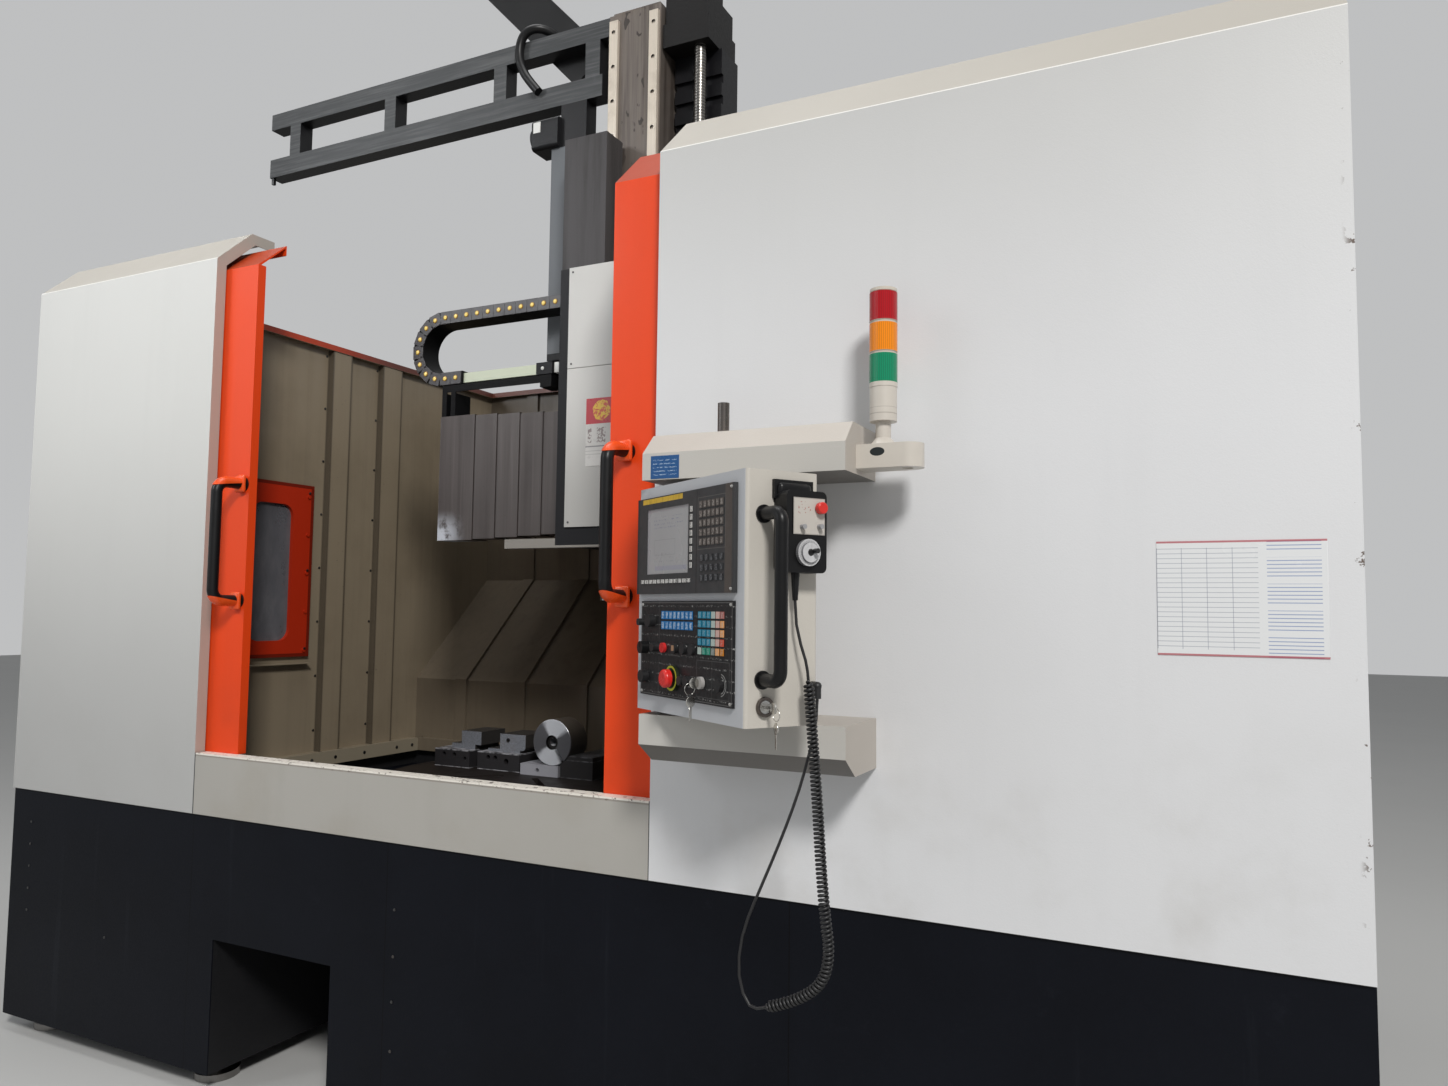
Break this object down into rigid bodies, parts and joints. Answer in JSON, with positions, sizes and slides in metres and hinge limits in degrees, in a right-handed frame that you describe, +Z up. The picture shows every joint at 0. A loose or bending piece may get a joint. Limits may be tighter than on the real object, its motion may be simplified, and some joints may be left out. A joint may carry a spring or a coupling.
{
  "type": "cnc vertical turret lathe",
  "caption": "Vertical turning machine with sliding doors, round table, overhead ram and a swing-out control pendant.",
  "frame": {"origin": "On the floor, under the middle of the box around the machine without its cords.", "axes": "+Z up, +X to the machine's right as seen from the front, -Y out of the front towards the user."},
  "size_m": [4.236, 2.8, 3.9338],
  "materials": {
    "feet": "dull zinc-plated steel",
    "casting": "oily dark paint",
    "skirt": "black satin paint",
    "column_paint": "grey machine paint",
    "crossrail_paint": "dark machine paint",
    "cabinet_left_paint": "light grey textured paint",
    "cabinet_right_paint": "light grey textured paint",
    "sill_paint": "light grey textured paint",
    "inner_wall": "oil-stained beige paint",
    "lamp_frame": "orange paint",
    "lamp_glass": "clear pane",
    "back_sheet": "oil-stained beige paint",
    "arm_paint": "cream textured paint",
    "arm_paint_low": "cream textured paint",
    "pin_steel": "turned steel",
    "tower_ivory": "ivory plastic",
    "tower_lens": "coloured lenses",
    "tray_paint": "black paint",
    "way_cover_paint_0": "stained steel sheet",
    "door_left_paint": "orange textured paint",
    "pane_left": "clear pane",
    "handle_left_black": "black grip",
    "door_right_paint": "orange textured paint",
    "pane_right": "clear pane",
    "handle_right_black": "black grip",
    "saddle_paint": "dark machine paint",
    "cover_paint": "light sheet",
    "chain_plastic": "black plastic links",
    "block_paint": "dark paint",
    "ladder_paint": "dark grey-blue paint",
    "duct_plastic": "black duct",
    "motor_paint": "black paint",
    "way_cover_paint_4": "stained steel sheet",
    "way_cover_paint_1": "stained steel sheet",
    "way_cover_paint_2": "stained steel sheet",
    "way_cover_paint_3": "stained steel sheet",
    "x_screw_steel": "ground screw",
    "ram_steel": "ground grey iron",
    "rail_steel": "ground rails under an oil film",
    "z_screw_steel": "ground screw",
    "turret_steel": "ground steel",
    "table_steel": "turned iron",
    "jaw_box_steel": "dark steel",
    "work_steel": "bright turned steel",
    "jaw_steel_left": "ground jaw",
    "jaw_steel_right": "ground jaw",
    "pendant_paint": "cream textured paint",
    "display_bezel": "dark keypad foil",
    "screen_glass": "lit screen",
    "operator_foil": "dark keypad foil",
    "grab_black": "black tube",
    "handset_plastic": "black housing",
    "lead_rubber": "black cable",
    "coil_rubber": "black coil",
    "return_rubber": "black cable",
    "stop_red": "red mushroom",
    "knob_black": "black knob",
    "lock_chrome": "plated lock",
    "button_red": "red button",
    "wheel_dial": "steel wheel with a white dial"
  },
  "bodies": {
    "machine": {"levelling_feet": "feet", "base_casting": "casting", "base_skirt": "skirt", "column": "column_paint", "crossrail": "crossrail_paint", "left_cabinet": "cabinet_left_paint", "right_cabinet": "cabinet_right_paint", "sill_panel": "sill_paint", "inner_left_wall": "inner_wall", "window_frame": "lamp_frame", "window_glass": "lamp_glass", "back_wall": "back_sheet", "upper_arm": "arm_paint", "lower_arm": "arm_paint_low", "pivot_pin": "pin_steel", "tower_stand": "tower_ivory", "tower_lenses": "tower_lens", "chain_tray": "tray_paint", "way_cover_0": "way_cover_paint_0"},
    "left_door": {"left_door": "door_left_paint", "left_window": "pane_left", "left_handle": "handle_left_black"},
    "right_door": {"right_door": "door_right_paint", "right_window": "pane_right", "right_handle": "handle_right_black"},
    "saddle": {"saddle": "saddle_paint", "saddle_cover": "cover_paint", "energy_chain": "chain_plastic", "screw_block": "block_paint", "ladder_frame": "ladder_paint", "cable_duct": "duct_plastic", "drive_motor": "motor_paint", "way_cover_4": "way_cover_paint_4"},
    "cover_one": {"way_cover_1": "way_cover_paint_1"},
    "cover_two": {"way_cover_2": "way_cover_paint_2"},
    "cover_three": {"way_cover_3": "way_cover_paint_3"},
    "x_screw": {"x_ball_screw": "x_screw_steel"},
    "ram": {"ram": "ram_steel", "ram_rails": "rail_steel"},
    "z_screw": {"z_ball_screw": "z_screw_steel"},
    "turret": {"turret": "turret_steel"},
    "table": {"table": "table_steel", "jaw_boxes": "jaw_box_steel", "workpiece": "work_steel"},
    "jaw_left": {"jaw_left": "jaw_steel_left"},
    "jaw_right": {"jaw_right": "jaw_steel_right"},
    "pendant": {"pendant_box": "pendant_paint", "display_unit": "display_bezel", "screen": "screen_glass", "operator_panel": "operator_foil", "grab_handle": "grab_black", "handset": "handset_plastic", "cord_upper_lead": "lead_rubber", "curly_cord": "coil_rubber", "cord_return": "return_rubber"},
    "e_stop": {"e_stop": "stop_red"},
    "feed_knob": {"feed_knob": "knob_black"},
    "cam_lock": {"cam_lock": "lock_chrome"},
    "red_button": {"red_button": "button_red"},
    "handwheel": {"handwheel": "wheel_dial"}
  },
  "joints": [
    {"name": "left_door_slide", "type": "slide", "parent": "machine", "child": "left_door", "axis": [1, 0, 0], "range_m": [0, 0.7025]},
    {"name": "right_door_slide", "type": "slide", "parent": "machine", "child": "right_door", "axis": [1, 0, 0], "range_m": [-0.6885, 0]},
    {"name": "saddle_slide", "type": "slide", "parent": "machine", "child": "saddle", "axis": [1, 0, 0], "range_m": [-0.35, 0.18]},
    {"name": "cover_one_slide", "type": "slide", "parent": "machine", "child": "cover_one", "axis": [1, 0, 0], "range_m": [-0.0875, 0.045]},
    {"name": "cover_two_slide", "type": "slide", "parent": "machine", "child": "cover_two", "axis": [1, 0, 0], "range_m": [-0.175, 0.09]},
    {"name": "cover_three_slide", "type": "slide", "parent": "machine", "child": "cover_three", "axis": [1, 0, 0], "range_m": [-0.2625, 0.135]},
    {"name": "x_screw_turn", "type": "hinge", "parent": "machine", "child": "x_screw", "pos_m": [0, -0.115, 2.075], "axis": [1, 0, 0], "continuous": true},
    {"name": "ram_slide", "type": "slide", "parent": "saddle", "child": "ram", "axis": [0, 0, 1], "range_m": [-0.36, 0]},
    {"name": "z_screw_turn", "type": "hinge", "parent": "saddle", "child": "z_screw", "pos_m": [0.371, -0.35, 2.5], "axis": [0, 0, 1], "continuous": true},
    {"name": "turret_index", "type": "hinge", "parent": "ram", "child": "turret", "pos_m": [0.146, -0.295, 1.645], "axis": [0, 0, 1], "continuous": true},
    {"name": "table_spin", "type": "hinge", "parent": "machine", "child": "table", "pos_m": [-0.281, -0.298, 0.9], "axis": [0, 0, 1], "continuous": true},
    {"name": "jaw_left_slide", "type": "slide", "parent": "table", "child": "jaw_left", "axis": [0, 1, 0], "range_m": [-0.03, 0.015]},
    {"name": "jaw_right_slide", "type": "slide", "parent": "table", "child": "jaw_right", "axis": [0, 1, 0], "range_m": [-0.03, 0.015]},
    {"name": "pendant_swing", "type": "hinge", "parent": "machine", "child": "pendant", "pos_m": [0.823, -1.065, 1.5], "axis": [0, 0, 1], "range_deg": [-12, 45]},
    {"name": "e_stop_push", "type": "slide", "parent": "pendant", "child": "e_stop", "axis": [0.5476, 0.8368, 0], "range_m": [0, 0.005], "stiffness_N_per_m": 4000},
    {"name": "feed_knob_turn", "type": "hinge", "parent": "pendant", "child": "feed_knob", "pos_m": [0.67958, -1.15997, 1.455], "axis": [0.5476, 0.8368, 0], "range_deg": [-135, 135]},
    {"name": "cam_lock_turn", "type": "hinge", "parent": "pendant", "child": "cam_lock", "pos_m": [1.05811, -1.34673, 1.352], "axis": [0.8368, -0.5476, 0], "range_deg": [0, 90]},
    {"name": "red_button_push", "type": "slide", "parent": "pendant", "child": "red_button", "axis": [-0.8368, 0.5476, 0], "range_m": [0, 0.0025], "stiffness_N_per_m": 2000},
    {"name": "handwheel_turn", "type": "hinge", "parent": "pendant", "child": "handwheel", "pos_m": [1.13355, -1.31363, 1.658], "axis": [0.8368, -0.5476, 0], "continuous": true}
  ],
  "couplings": [
    {"joint": "cover_one_slide", "follows": "saddle_slide", "ratio": 0.25},
    {"joint": "cover_two_slide", "follows": "saddle_slide", "ratio": 0.5},
    {"joint": "cover_three_slide", "follows": "saddle_slide", "ratio": 0.75},
    {"joint": "x_screw_turn", "follows": "saddle_slide", "rad_per_m": 314.16},
    {"joint": "z_screw_turn", "follows": "ram_slide", "rad_per_m": 392.7}
  ]
}
